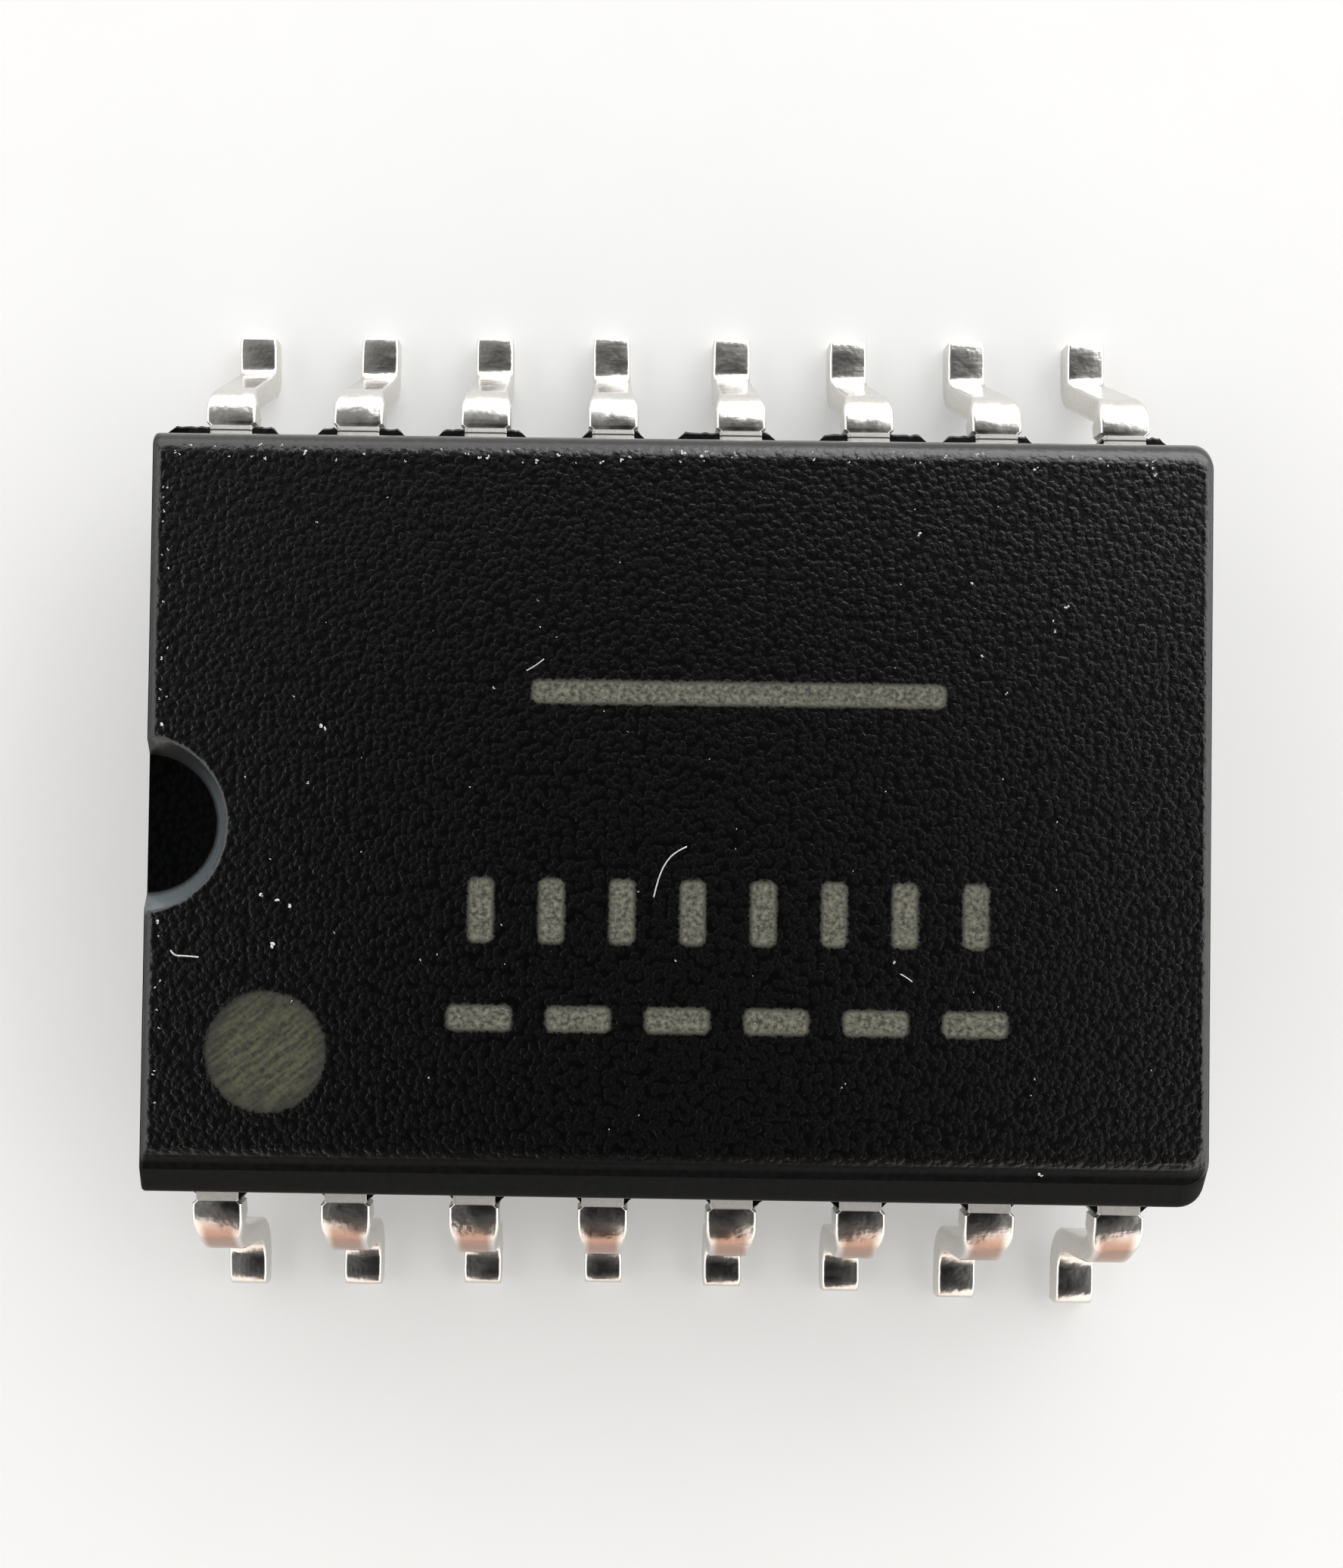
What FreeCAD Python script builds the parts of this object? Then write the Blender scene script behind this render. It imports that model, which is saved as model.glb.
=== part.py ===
import FreeCAD, Part
import math
import os

# Plastic small-outline integrated circuit with a wide body and gull-wing leads on two sides.
# Millimetres and degrees. X runs along the lead rows, Y across them, Z up from the board.
# The origin is on the board, under the middle of the body.

# Leads on each side, and how far the body runs on past the middle of the last lead
leads_per_row = 8
lead_pitch = 1.27
end_margin = 0.705

# Moulded body, measured over the parting line where the two halves of the mould met
body_width = 7.50
standoff = 0.20
lower_height = 1.15
upper_height = 1.15
draft = 12.0
corner_radius = 0.12
edge_radius = 0.08

# Bevel along the long edge beside pin 1, at 45 degrees
bevel_setback = 0.25

# Index notch in the end beside pin 1, and the ejector marks on the underside
notch_radius = 0.82
notch_inset = 0.17
notch_offset = 0.12
notch_depth = 0.35
notch_draft = 24.0
notch_edge_radius = 0.03
ejector_radius = 0.50
ejector_depth = 0.04
ejector_spacing = 6.00

# Leads, from the foot on the board to the neck at the body
lead_span = 10.30
lead_thickness = 0.25
foot_width = 0.40
shoulder_length = 0.15
bend_radius = 0.18
leg_lean = 17.0
neck_width = 0.42

# Stubs that the punched dam bar leaves on each lead, and the resin that it held back
dam_gap = 0.10
dam_width = 0.21
dam_taper = 0.18
stub_width = 0.50
flash_taper = 0.10
flash_thinning = 0.03

# Resin left beside each lead, from the left end of the row to the right: (left side, right side)
flash_far_row = (
    (0.45, 0.29), (0.23, 0.28), (0.29, 0.22), (0.13, 0.13),
    (0.45, 0.16), (0.31, 0.39), (0.35, 0.17), (0.08, 0.23),
)
flash_near_row = (
    (0.05, 0.11), (0.05, 0.10), (0.06, 0.12), (0.08, 0.10),
    (0.07, 0.12), (0.11, 0.08), (0.10, 0.06), (0.12, 0.10),
)

# Fingers of the lead frame inside the resin
wing_inset = 0.25
wing_length = 0.30
wing_width = 0.66
finger_width = 0.36
finger_straight = 0.85
finger_end_width = 0.30
tip_gap = 0.25
tip_pitch = 0.90
fingers_on_long_side = 4

# Paddle under the chip, let down below the leads, and its two tie bars
paddle_length = 3.40
paddle_width = 2.60
paddle_drop = 0.20
drop_run = 0.25
drop_gap = 0.20
tie_width = 0.30

# Chip, the glue under it and the wires from it to the fingers
chip_length = 2.20
chip_width = 1.70
chip_thickness = 0.30
glue_thickness = 0.03
glue_margin = 0.06
pad_inset = 0.12
pad_pitch = 0.45
wire_diameter = 0.038
ball_diameter = 0.085
ball_height = 0.020
wire_sides = 8
loop_height = 0.16
loop_flat = 0.45
stitch_setback = 0.15

# Slack when an edge is picked by its place or its radius
pick_slack = 0.001

# Heights and half sizes that follow from the sizes above
parting_z = standoff + lower_height
top_z = parting_z + upper_height
half_length = (leads_per_row - 1) / 2 * lead_pitch + end_margin
body_length = 2 * half_length
half_width = body_width / 2
frame_top_z = parting_z + lead_thickness / 2
frame_bottom_z = parting_z - lead_thickness / 2
paddle_top_z = frame_top_z - paddle_drop
chip_bottom_z = paddle_top_z + glue_thickness
chip_top_z = chip_bottom_z + chip_thickness
draft_slope = math.tan(math.radians(draft))


def point(x, y, z):
    return FreeCAD.Vector(x, y, z)


def face_of(points):
    """A flat face inside a closed outline of straight runs."""
    return Part.Face(Part.makePolygon(points + points[:1]))


def plan_prism(outline, low, high):
    """An outline in plan, given as (x, y) points, made solid between two heights."""
    face = face_of([point(x, y, low) for x, y in outline])
    return face.extrude(point(0, 0, high - low))


def block(length, width, low, high):
    """A block centred over the origin."""
    return Part.makeBox(length, width, high - low, point(-length / 2, -width / 2, low))


def half_turn(shape):
    """The same piece on the other side of the body."""
    turned = shape.copy()
    turned.rotate(point(0, 0, 0), point(0, 0, 1), 180)
    return turned


def edges_at(shape, z):
    """The edges that lie wholly at one height."""
    boxes = [(edge, edge.BoundBox) for edge in shape.Edges]
    return [edge for edge, box in boxes if abs(box.ZMin - z) < pick_slack and abs(box.ZMax - z) < pick_slack]


def corner_edges(shape):
    """The four slanted edges that climb a drafted half from the parting line."""
    return [edge for edge in shape.Edges if edge.BoundBox.ZLength > pick_slack]


def drafted_half(height, face_z):
    """One half of the body: the parting line's rectangle, drawn in by the draft towards its face."""
    shrink = height * draft_slope
    outlines = []
    for z, inset in ((parting_z, 0), (face_z, shrink)):
        x = half_length - inset
        y = half_width - inset
        corners = [point(-x, -y, z), point(x, -y, z), point(x, y, z), point(-x, y, z)]
        outlines.append(Part.makePolygon(corners + corners[:1]))
    half = Part.makeLoft(outlines, True, True)
    return half.makeFillet(corner_radius, corner_edges(half))


def bevel_cutter():
    """What the mould takes off the long edge beside pin 1: everything above a 45 degree plane."""
    reach = bevel_setback + upper_height
    start = -(half_width - upper_height * draft_slope - bevel_setback)
    section = [(start + reach, top_z + reach), (start - reach, top_z - reach), (start - reach, top_z + reach)]
    face = face_of([point(-body_length, y, z) for y, z in section])
    return face.extrude(point(2 * body_length, 0, 0))


def notch_cutter():
    """A drafted round recess that runs out through the end wall, a little nearer to pin 1 than the middle."""
    slope = math.tan(math.radians(notch_draft))
    above = notch_depth
    floor_radius = notch_radius - notch_depth * slope
    mouth_radius = notch_radius + above * slope
    axis_start = point(notch_inset - half_length, -notch_offset, top_z - notch_depth)
    return Part.makeCone(floor_radius, mouth_radius, notch_depth + above, axis_start, point(0, 0, 1))


def ejector_cutters():
    """The shallow round marks of the two pins that push the body out of the mould."""
    marks = []
    for side in (-1, 1):
        centre = point(side * ejector_spacing / 2, 0, 0)
        marks.append(Part.makeCylinder(ejector_radius, standoff + ejector_depth, centre))
    return marks


def notch_edges(shape):
    """The rounded mouth of the notch: the arc in the top face."""
    arcs = []
    for edge in edges_at(shape, top_z):
        if isinstance(edge.Curve, Part.Circle) and abs(edge.Curve.Radius - notch_radius) < pick_slack:
            arcs.append(edge)
    return arcs


def body_shell():
    """Both drafted halves with their bevel, rounded edges, notch and ejector marks."""
    upper = drafted_half(upper_height, top_z).cut(bevel_cutter())
    upper = upper.makeFillet(edge_radius, edges_at(upper, top_z))
    upper = upper.cut(notch_cutter())
    upper = upper.makeFillet(notch_edge_radius, notch_edges(upper))
    lower = drafted_half(lower_height, standoff)
    lower = lower.makeFillet(edge_radius, edges_at(lower, standoff))
    return upper.fuse(lower.cut(ejector_cutters()))


def fin(x, side, length):
    """Resin that the dam bar held back beside one lead: full depth, then a taper to nothing."""
    inner = half_width - dam_gap
    outer = half_width + dam_gap
    taper = min(flash_taper, length / 2)
    full = x + side * (neck_width / 2 + length - taper)
    end = x + side * (neck_width / 2 + length)
    outline = [(x, inner), (x, outer), (full, outer), (end, half_width), (end, inner)]
    return plan_prism(outline, frame_bottom_z + flash_thinning, frame_top_z - flash_thinning)


def flash():
    """The fins of both rows."""
    fins = []
    for column in range(leads_per_row):
        x = column_x(column)
        left, right = flash_far_row[column % len(flash_far_row)]
        fins += [fin(x, -1, left), fin(x, 1, right)]
        left, right = flash_near_row[column % len(flash_near_row)]
        fins += [half_turn(fin(-x, 1, left)), half_turn(fin(-x, -1, right))]
    return fins


def column_x(column):
    """Where a lead stands along its row, counted from the left."""
    return (column - (leads_per_row - 1) / 2) * lead_pitch


def share_out(column, pitch, long_side, end):
    """The place of a column on the far half of a plate's rim: the inner ones in front, the rest at the ends."""
    side = math.copysign(1, column_x(column))
    steps_out = abs(column_x(column)) / lead_pitch
    if steps_out < fingers_on_long_side / 2:
        return side * steps_out * pitch, long_side
    return side * end, (leads_per_row / 2 - steps_out) * pitch


def finger_tip(column):
    """Where a finger of the far row ends beside the paddle."""
    return share_out(column, tip_pitch, paddle_width / 2 + tip_gap, paddle_length / 2 + tip_gap)


def finger_direction(column):
    """The unit direction of a finger's slanted stretch, from its turn to its tip."""
    tip_x, tip_y = finger_tip(column)
    run_x = tip_x - column_x(column)
    run_y = tip_y - (half_width - finger_straight)
    length = math.hypot(run_x, run_y)
    return run_x / length, run_y / length


def lead_plan(column):
    """A far lead's outline in plan: straight from its foot to the turn, then slanted to its tip."""
    x = column_x(column)
    tip_x, tip_y = finger_tip(column)
    along_x, along_y = finger_direction(column)
    turn_y = half_width - finger_straight
    dam_start = half_width + dam_gap
    dam_end = dam_start + dam_width
    wing_start = half_width - wing_inset
    wing_end = wing_start - wing_length
    straight = [
        (lead_span / 2, foot_width / 2),
        (dam_end + dam_taper, foot_width / 2),
        (dam_end, stub_width / 2),
        (dam_start, stub_width / 2),
        (dam_start, neck_width / 2),
        (wing_start, neck_width / 2),
        (wing_start, wing_width / 2),
        (wing_end, wing_width / 2),
        (wing_end, finger_width / 2),
    ]
    # At the turn both sides meet on the line that halves the angle between the two stretches.
    mitre = finger_width / 2 * along_x / (1 - along_y)
    right = [(x + half, y) for y, half in straight]
    right += [(x + finger_width / 2, turn_y - mitre)]
    right += [(tip_x - along_y * finger_end_width / 2, tip_y + along_x * finger_end_width / 2)]
    left = [(x - half, y) for y, half in straight]
    left += [(x - finger_width / 2, turn_y + mitre)]
    left += [(tip_x + along_y * finger_end_width / 2, tip_y - along_x * finger_end_width / 2)]
    return right + left[::-1]


def lead_section():
    """The side view of a far lead: a strip of one thickness, bent down and out, with a flat foot."""
    lean = math.radians(leg_lean)
    inner = bend_radius
    outer = bend_radius + lead_thickness
    middle = bend_radius + lead_thickness / 2
    upper_y = half_width + shoulder_length
    upper_z = frame_bottom_z - bend_radius
    lower_z = lead_thickness + bend_radius
    leg = (upper_z - lower_z + 2 * middle * math.sin(lean)) / math.cos(lean)
    lower_y = upper_y + 2 * middle * math.cos(lean) + leg * math.sin(lean)
    upper = point(0, upper_y, upper_z)
    lower = point(0, lower_y, lower_z)

    def spot(centre, radius, angle):
        return centre + point(0, radius * math.sin(angle), radius * math.cos(angle))

    end_turn = math.pi / 2 - lean
    outer_top = [spot(upper, outer, turn) for turn in (0, end_turn / 2, end_turn)]
    inner_top = [spot(upper, inner, turn) for turn in (0, end_turn / 2, end_turn)]
    inner_foot = [spot(lower, -inner, turn) for turn in (end_turn, end_turn / 2, 0)]
    outer_foot = [spot(lower, -outer, turn) for turn in (end_turn, end_turn / 2, 0)]
    finger_end = point(0, 0, frame_top_z)
    finger_below = point(0, 0, frame_bottom_z)
    foot_top = point(0, lead_span / 2, lead_thickness)
    foot_below = point(0, lead_span / 2, 0)
    edges = [
        Part.makeLine(finger_end, outer_top[0]),
        Part.Arc(*outer_top).toShape(),
        Part.makeLine(outer_top[2], inner_foot[0]),
        Part.Arc(*inner_foot).toShape(),
        Part.makeLine(inner_foot[2], foot_top),
        Part.makeLine(foot_top, foot_below),
        Part.makeLine(foot_below, outer_foot[2]),
        Part.Arc(*outer_foot[::-1]).toShape(),
        Part.makeLine(outer_foot[0], inner_top[2]),
        Part.Arc(*inner_top[::-1]).toShape(),
        Part.makeLine(inner_top[0], finger_below),
        Part.makeLine(finger_below, finger_end),
    ]
    return Part.Face(Part.Wire(edges))


def far_lead(column):
    """One lead of the far row: the plan outline and the side view, each made solid, where they meet."""
    reach = max(body_length, lead_span, leads_per_row * lead_pitch)
    strip = lead_section()
    strip.translate(point(-reach, 0, 0))
    bent_strip = strip.extrude(point(2 * reach, 0, 0))
    return bent_strip.common(plan_prism(lead_plan(column), -lead_thickness, top_z))


def paddle():
    """The chip's plate and its tie bars, stamped from the frame's sheet and let down between the leads."""
    half_plate = paddle_length / 2
    drop_start = half_plate + drop_gap + drop_run
    drop_end = half_plate + drop_gap
    low = frame_bottom_z - paddle_drop
    right = [
        (drop_end, low), (drop_start, frame_bottom_z), (half_length, frame_bottom_z),
        (half_length, frame_top_z), (drop_start, frame_top_z), (drop_end, paddle_top_z),
    ]
    left = [(-x, z) for x, z in right[::-1]]
    side_view = face_of([point(x, -half_width, z) for x, z in right + left])
    sheet = side_view.extrude(point(0, body_width, 0))
    plate = block(paddle_length, paddle_width, low, frame_top_z)
    bars = block(body_length, tie_width, low, frame_top_z)
    return sheet.common(plate.fuse(bars).removeSplitter())


def glue():
    """The thin bed of glue between the plate and the chip."""
    length = chip_length + 2 * glue_margin
    width = chip_width + 2 * glue_margin
    return block(length, width, paddle_top_z, chip_bottom_z)


def chip():
    """The sawn chip of silicon."""
    return block(chip_length, chip_width, chip_bottom_z, chip_top_z)


def ring(diameter, centre):
    """The section of a wire or a ball, drawn with a few flats because it is finer than a hair."""
    return Part.makePolygon([
        centre + point(diameter / 2 * math.cos(turn), diameter / 2 * math.sin(turn), 0)
        for turn in [2 * math.pi * step / wire_sides for step in range(wire_sides + 1)]
    ])


def pad_spot(column):
    """Where a wire of the far row starts on the chip."""
    return share_out(column, pad_pitch, chip_width / 2 - pad_inset, chip_length / 2 - pad_inset)


def far_wire(column):
    """One wire: a flat ball on the chip, up, across and down to its stitch on the finger."""
    start_x, start_y = pad_spot(column)
    tip_x, tip_y = finger_tip(column)
    along_x, along_y = finger_direction(column)
    end_x = tip_x - along_x * stitch_setback
    end_y = tip_y - along_y * stitch_setback
    over_x = start_x + (end_x - start_x) * loop_flat
    over_y = start_y + (end_y - start_y) * loop_flat
    loop_z = chip_top_z + loop_height
    route = [
        point(start_x, start_y, chip_top_z),
        point(start_x, start_y, loop_z),
        point(over_x, over_y, loop_z),
        point(end_x, end_y, frame_top_z - wire_diameter),
    ]
    wire = Part.makePolygon(route).makePipeShell([ring(wire_diameter, route[0])], True, False, 1)
    ball = Part.Face(ring(ball_diameter, route[0])).extrude(point(0, 0, ball_height))
    return wire.fuse(ball).removeSplitter().cut(far_lead(column))


def frame_pieces():
    """Every lead with its wire, numbered as the pins are: along the near row, then back along the far row."""
    pieces = {}
    for column in range(leads_per_row):
        lead = far_lead(column)
        wire = far_wire(column)
        near_pin = leads_per_row - column
        far_pin = 2 * leads_per_row - column
        pieces[f"lead_{far_pin:02d}"] = lead
        pieces[f"bond_wire_{far_pin:02d}"] = wire
        pieces[f"lead_{near_pin:02d}"] = half_turn(lead)
        pieces[f"bond_wire_{near_pin:02d}"] = half_turn(wire)
    pieces["die_paddle"] = paddle()
    pieces["die_attach"] = glue()
    pieces["die"] = chip()
    return pieces


def moulded_body(inside):
    """The resin, moulded round everything that it holds."""
    resin = body_shell().fuse(flash()).removeSplitter()
    return resin.cut(inside)


def main():
    os.makedirs("parts", exist_ok=True)
    pieces = frame_pieces()
    pieces["moulded_body"] = moulded_body(list(pieces.values()))
    for name, shape in sorted(pieces.items()):
        solids = shape.Solids
        whole = solids[0] if len(solids) == 1 else shape
        whole.exportStep(f"parts/{name}.step")
        print(f"{name}: {len(solids)} solid, {whole.Volume:.4f} mm3, valid {whole.isValid()}")


main()
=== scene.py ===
# %% [markdown]
# # A small-outline chip, seen through a macro lens
# The object is a black moulded package, ten millimetres long, with eight bent leads along each long side.
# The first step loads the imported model, because every piece made here has to lie where that model says.

# %% Load the frame
import math
import random

import bmesh
import bpy
from mathutils import Matrix, Vector


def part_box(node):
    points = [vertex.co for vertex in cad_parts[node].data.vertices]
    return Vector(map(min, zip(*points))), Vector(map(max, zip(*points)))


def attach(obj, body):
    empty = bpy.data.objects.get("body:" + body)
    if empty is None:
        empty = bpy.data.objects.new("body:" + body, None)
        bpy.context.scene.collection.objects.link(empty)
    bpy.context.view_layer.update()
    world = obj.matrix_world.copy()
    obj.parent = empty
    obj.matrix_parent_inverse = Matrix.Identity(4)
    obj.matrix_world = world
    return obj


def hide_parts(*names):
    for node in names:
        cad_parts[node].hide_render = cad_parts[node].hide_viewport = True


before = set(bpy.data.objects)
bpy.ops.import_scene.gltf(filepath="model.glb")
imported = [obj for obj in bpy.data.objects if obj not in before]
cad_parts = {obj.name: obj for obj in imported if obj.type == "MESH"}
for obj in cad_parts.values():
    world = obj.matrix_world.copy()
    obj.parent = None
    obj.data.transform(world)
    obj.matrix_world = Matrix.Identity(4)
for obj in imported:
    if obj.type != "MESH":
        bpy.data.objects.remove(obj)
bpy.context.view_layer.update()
mm = 0.001
body_low, body_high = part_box("moulded_body")

# %% [markdown]
# # The camera
# The photograph is a close macro shot: the lens stands some sixteen millimetres above the board and looks
# almost straight down. So near, a foot on the board looks smaller than the body above it, and the leads
# lean away from the middle. The place and the angles below give that perspective, and a small lens shift
# frames it.

# %% Set the camera above the chip
photo_size = (1775, 2072)
camera_spot = (-0.712, 0.073, 16.028)
camera_turn = (0.017, 0.007, 0.014)
focal_pixels = 1944.1
optical_centre = (780.0, 1036.0)
sensor = 36.0
nearest_seen = 1 * mm
farthest_seen = 5000 * mm

camera = bpy.data.objects.new("camera", bpy.data.cameras.new("camera"))
bpy.context.scene.collection.objects.link(camera)
turn = Vector(camera_turn)
turned = Matrix.Rotation(turn.length, 4, turn.normalized())
camera.matrix_world = Matrix.Translation(Vector(camera_spot) * mm) @ turned
camera.data.sensor_width = sensor
camera.data.lens = focal_pixels * sensor / photo_size[1]
camera.data.shift_x = (photo_size[0] / 2 - optical_centre[0]) / photo_size[1]
camera.data.shift_y = (optical_centre[1] - photo_size[1] / 2) / photo_size[1]
camera.data.clip_start = nearest_seen
camera.data.clip_end = farthest_seen
bpy.context.scene.camera = camera
bpy.context.scene.view_settings.view_transform = "Standard"
print("lens", round(camera.data.lens, 2), "mm, shift", round(camera.data.shift_x, 4))

# %% [markdown]
# # Colours and nodes
# Colours are written as the eye meets them, as sRGB hex, and turned linear by one function. One more function
# adds a node with its settings and links, so that a material reads from top to bottom like a recipe.

# %% Helpers for colours and nodes
maths, vector_maths = "ShaderNodeMath", "ShaderNodeVectorMath"
remap, noise, mix = "ShaderNodeMapRange", "ShaderNodeTexNoise", "ShaderNodeMix"
times, times_plus, minus = ({"operation": word} for word in ("MULTIPLY", "MULTIPLY_ADD", "SUBTRACT"))
colours = {"out": 2, "data_type": "RGBA"}
soft = {"interpolation_type": "SMOOTHSTEP"}


def ink(text):
    """An sRGB hex colour as the linear numbers that the shaders want."""
    parts = [int(text[i:i + 2], 16) / 255 for i in (1, 3, 5)]
    return tuple(c / 12.92 if c <= 0.04045 else ((c + 0.055) / 1.055) ** 2.4 for c in parts) + (1.0,)


def put(tree, kind, feeds=(), out=0, **settings):
    """Adds a node, sets it, feeds its inputs with numbers or links, and gives back one output."""
    made = tree.nodes.new(kind)
    for name, value in settings.items():
        setattr(made, name, value)
    for key, value in feeds.items() if isinstance(feeds, dict) else enumerate(feeds):
        if isinstance(value, bpy.types.NodeSocket):
            tree.links.new(value, made.inputs[key])
        else:
            made.inputs[key].default_value = value
    return made.outputs[out] if len(made.outputs) else made


def new_material(name):
    """An empty node material, with Object coordinates in millimetres ready to use."""
    material = bpy.data.materials.new(name)
    material.use_nodes = True
    tree = material.node_tree
    tree.nodes.clear()
    place = put(tree, "ShaderNodeTexCoord", out=3)
    in_mm = put(tree, vector_maths, [place, (1 / mm,) * 3], **times)
    return material, tree, in_mm


print("paper white", [round(c, 4) for c in ink("#f7f7f6")[:3]])

# %% [markdown]
# # Light and floor
# The chip lies on white paper in a bright room, and the camera hangs so close above it that its flat back
# darkens most of the sky. A plain studio tent gives the same: pale walls, brighter behind the chip, and a
# dark panel overhead that reaches further towards the near side. Flat faces mirror the panel, the outsides
# of the bends mirror the walls, and that contrast is what makes tin look like metal.

# %% The panel overhead
# It is a rectangle on a level plane one unit up, so a direction is first drawn out to that plane. Each pair
# says where an edge starts to fade and where it has faded out.
panel_sides = (0.72, 1.15)
panel_far = (0.95, 1.6)
panel_near = (-5.0, -2.6)
lowest_seen = 0.02

world = bpy.data.worlds.new("tent")
bpy.context.scene.world = world
world.use_nodes = True
sky = world.node_tree
sky.nodes.clear()
aim = put(sky, "ShaderNodeTexCoord", out=0)
across_sky, along_sky, up_sky = put(sky, "ShaderNodeSeparateXYZ", [aim]).node.outputs
up_sky = put(sky, maths, [up_sky, lowest_seen], operation="MAXIMUM")
plane_x = put(sky, maths, [across_sky, up_sky], operation="DIVIDE")
plane_y = put(sky, maths, [along_sky, up_sky], operation="DIVIDE")
# towards the near side the panel gets narrower, so that light still comes in from both near corners
narrowing = (-0.6, -1.4, 1.0, 2.6)
side = put(sky, maths, [plane_x], operation="ABSOLUTE")
side = put(sky, maths, [side, put(sky, remap, [plane_y, *narrowing], **soft)], **times)
panel = put(sky, remap, [side, *panel_sides, 1.0, 0.0], **soft)
far_edge = put(sky, remap, [plane_y, *panel_far, 1.0, 0.0], **soft)
near_edge = put(sky, remap, [plane_y, *panel_near, 0.0, 1.0], **soft)
panel = put(sky, maths, [panel, far_edge], **times)
panel = put(sky, maths, [panel, near_edge], **times)
print("panel sides fade at", panel_sides)

# %% The tent
wall_level = 2.03
far_gain = 0.40
right_gain = 0.14
panel_levels = (0.010, 0.28)
panel_fade = (0.18, 0.90)
panel_centre = (0.05, -0.14, 0.0)
panel_stretch = (1.2, 1.0, 0.0)
near_shade = (-0.20, -0.80, 1.0, 0.35)
warm_side = (-0.9, -0.4, 1.0, 0.0)

# the panel's middle, where the lens looks through, is darkest, and its near part is darker than its far one
spot = put(sky, "ShaderNodeCombineXYZ", [plane_x, plane_y, 0.0])
spot = put(sky, vector_maths, [spot, panel_centre], **minus)
spot = put(sky, vector_maths, [spot, panel_stretch], **times)
spot = put(sky, vector_maths, [spot], out=1, operation="LENGTH")
panel_level = put(sky, remap, [spot, *panel_fade, *panel_levels], **soft)
shade = put(sky, remap, [plane_y, *near_shade], **soft)
panel_level = put(sky, maths, [panel_level, shade], **times)
walls = put(sky, maths, [along_sky, far_gain, wall_level], **times_plus)
walls = put(sky, maths, [across_sky, right_gain, walls], **times_plus)
level = put(sky, mix, {0: panel, 2: walls, 3: panel_level})
# the near wall has a faint warm tint
nearness = put(sky, remap, [along_sky, *warm_side])
tint = put(sky, mix, {0: nearness, 6: ink("#ffffff"), 7: ink("#f8e9df")}, **colours)
put(sky, "ShaderNodeOutputWorld", [put(sky, "ShaderNodeBackground", [tint, level])])
print("tent walls", wall_level, "panel", panel_levels)

# %% A soft box behind the chip, to the right
box_spot = Vector((80, 140, 96)) * mm
box_size = 165 * mm
box_power = 0.17
lamp = bpy.data.objects.new("soft_box", bpy.data.lights.new("soft_box", "AREA"))
lamp.data.shape = "SQUARE"
lamp.data.size = box_size
lamp.data.energy = box_power
lamp.location = box_spot
lamp.rotation_mode = "QUATERNION"
lamp.rotation_quaternion = (-box_spot).to_track_quat("-Z", "Y")
bpy.context.scene.collection.objects.link(lamp)
print("soft box", box_power, "W at", round(box_spot.length / mm), "mm")

# %% The paper floor
# The photograph is exposed for the black resin, so the paper comes out nearly white and its shadows pale.
# To the camera, and in what the tin mirrors, a part of the paper is therefore plain white.
floor_half = 400 * mm
paper_mottle = 0.6
washed_out = 0.30


def link_mesh(name, mesh, material):
    """Puts a finished mesh in the scene as an object at the origin."""
    piece = bpy.data.objects.new(name, mesh)
    piece.data.materials.clear()
    piece.data.materials.append(material)
    bpy.context.scene.collection.objects.link(piece)
    return piece


paper, tree, at = new_material("white_paper")
fibre = put(tree, noise, {"Vector": at, "Scale": paper_mottle, "Detail": 4.0})
tone = put(tree, mix, {0: fibre, 6: ink("#f1f1f0"), 7: ink("#f7f7f6")}, **colours)
sheet = put(tree, "ShaderNodeBsdfPrincipled", {"Base Color": tone, "Roughness": 0.9})
rays = put(tree, "ShaderNodeLightPath").node.outputs
seen = put(tree, maths, [rays["Is Camera Ray"], rays["Is Glossy Ray"]], operation="MAXIMUM")
seen = put(tree, maths, [seen, rays["Is Transmission Ray"]], operation="MAXIMUM")
white_part = put(tree, maths, [seen, washed_out], **times)
plain_white = put(tree, "ShaderNodeEmission", [ink("#f9f9f7"), 1.0])
sheet = put(tree, "ShaderNodeMixShader", [white_part, sheet, plain_white])
put(tree, "ShaderNodeOutputMaterial", [sheet])

floor_mesh = bpy.data.meshes.new("paper_floor")
corners = [(x * floor_half, y * floor_half, 0) for x, y in ((-1, -1), (1, -1), (1, 1), (-1, 1))]
floor_mesh.from_pydata(corners, [], [(0, 1, 2, 3)])
floor = link_mesh("paper_floor", floor_mesh, paper)
print("floor", 2 * floor_half / mm, "mm wide")

# %% [markdown]
# # The mould compound
# The body is epoxy filled with fused silica and blackened with carbon, moulded in a steel cavity whose
# top was roughened by sparks. That leaves a fine leathery grain, some 0.07 mm from crest to crest, on the
# flat top, while the drafted sides, the edges and the bevel come out smoother and catch a grey sheen.
# A laser then marks the top: it burns the carbon out of a thin skin and leaves it olive grey and matt.
# The grain could be modelled, but it would take millions of faces, so it is a bump worked out from noise.

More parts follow.
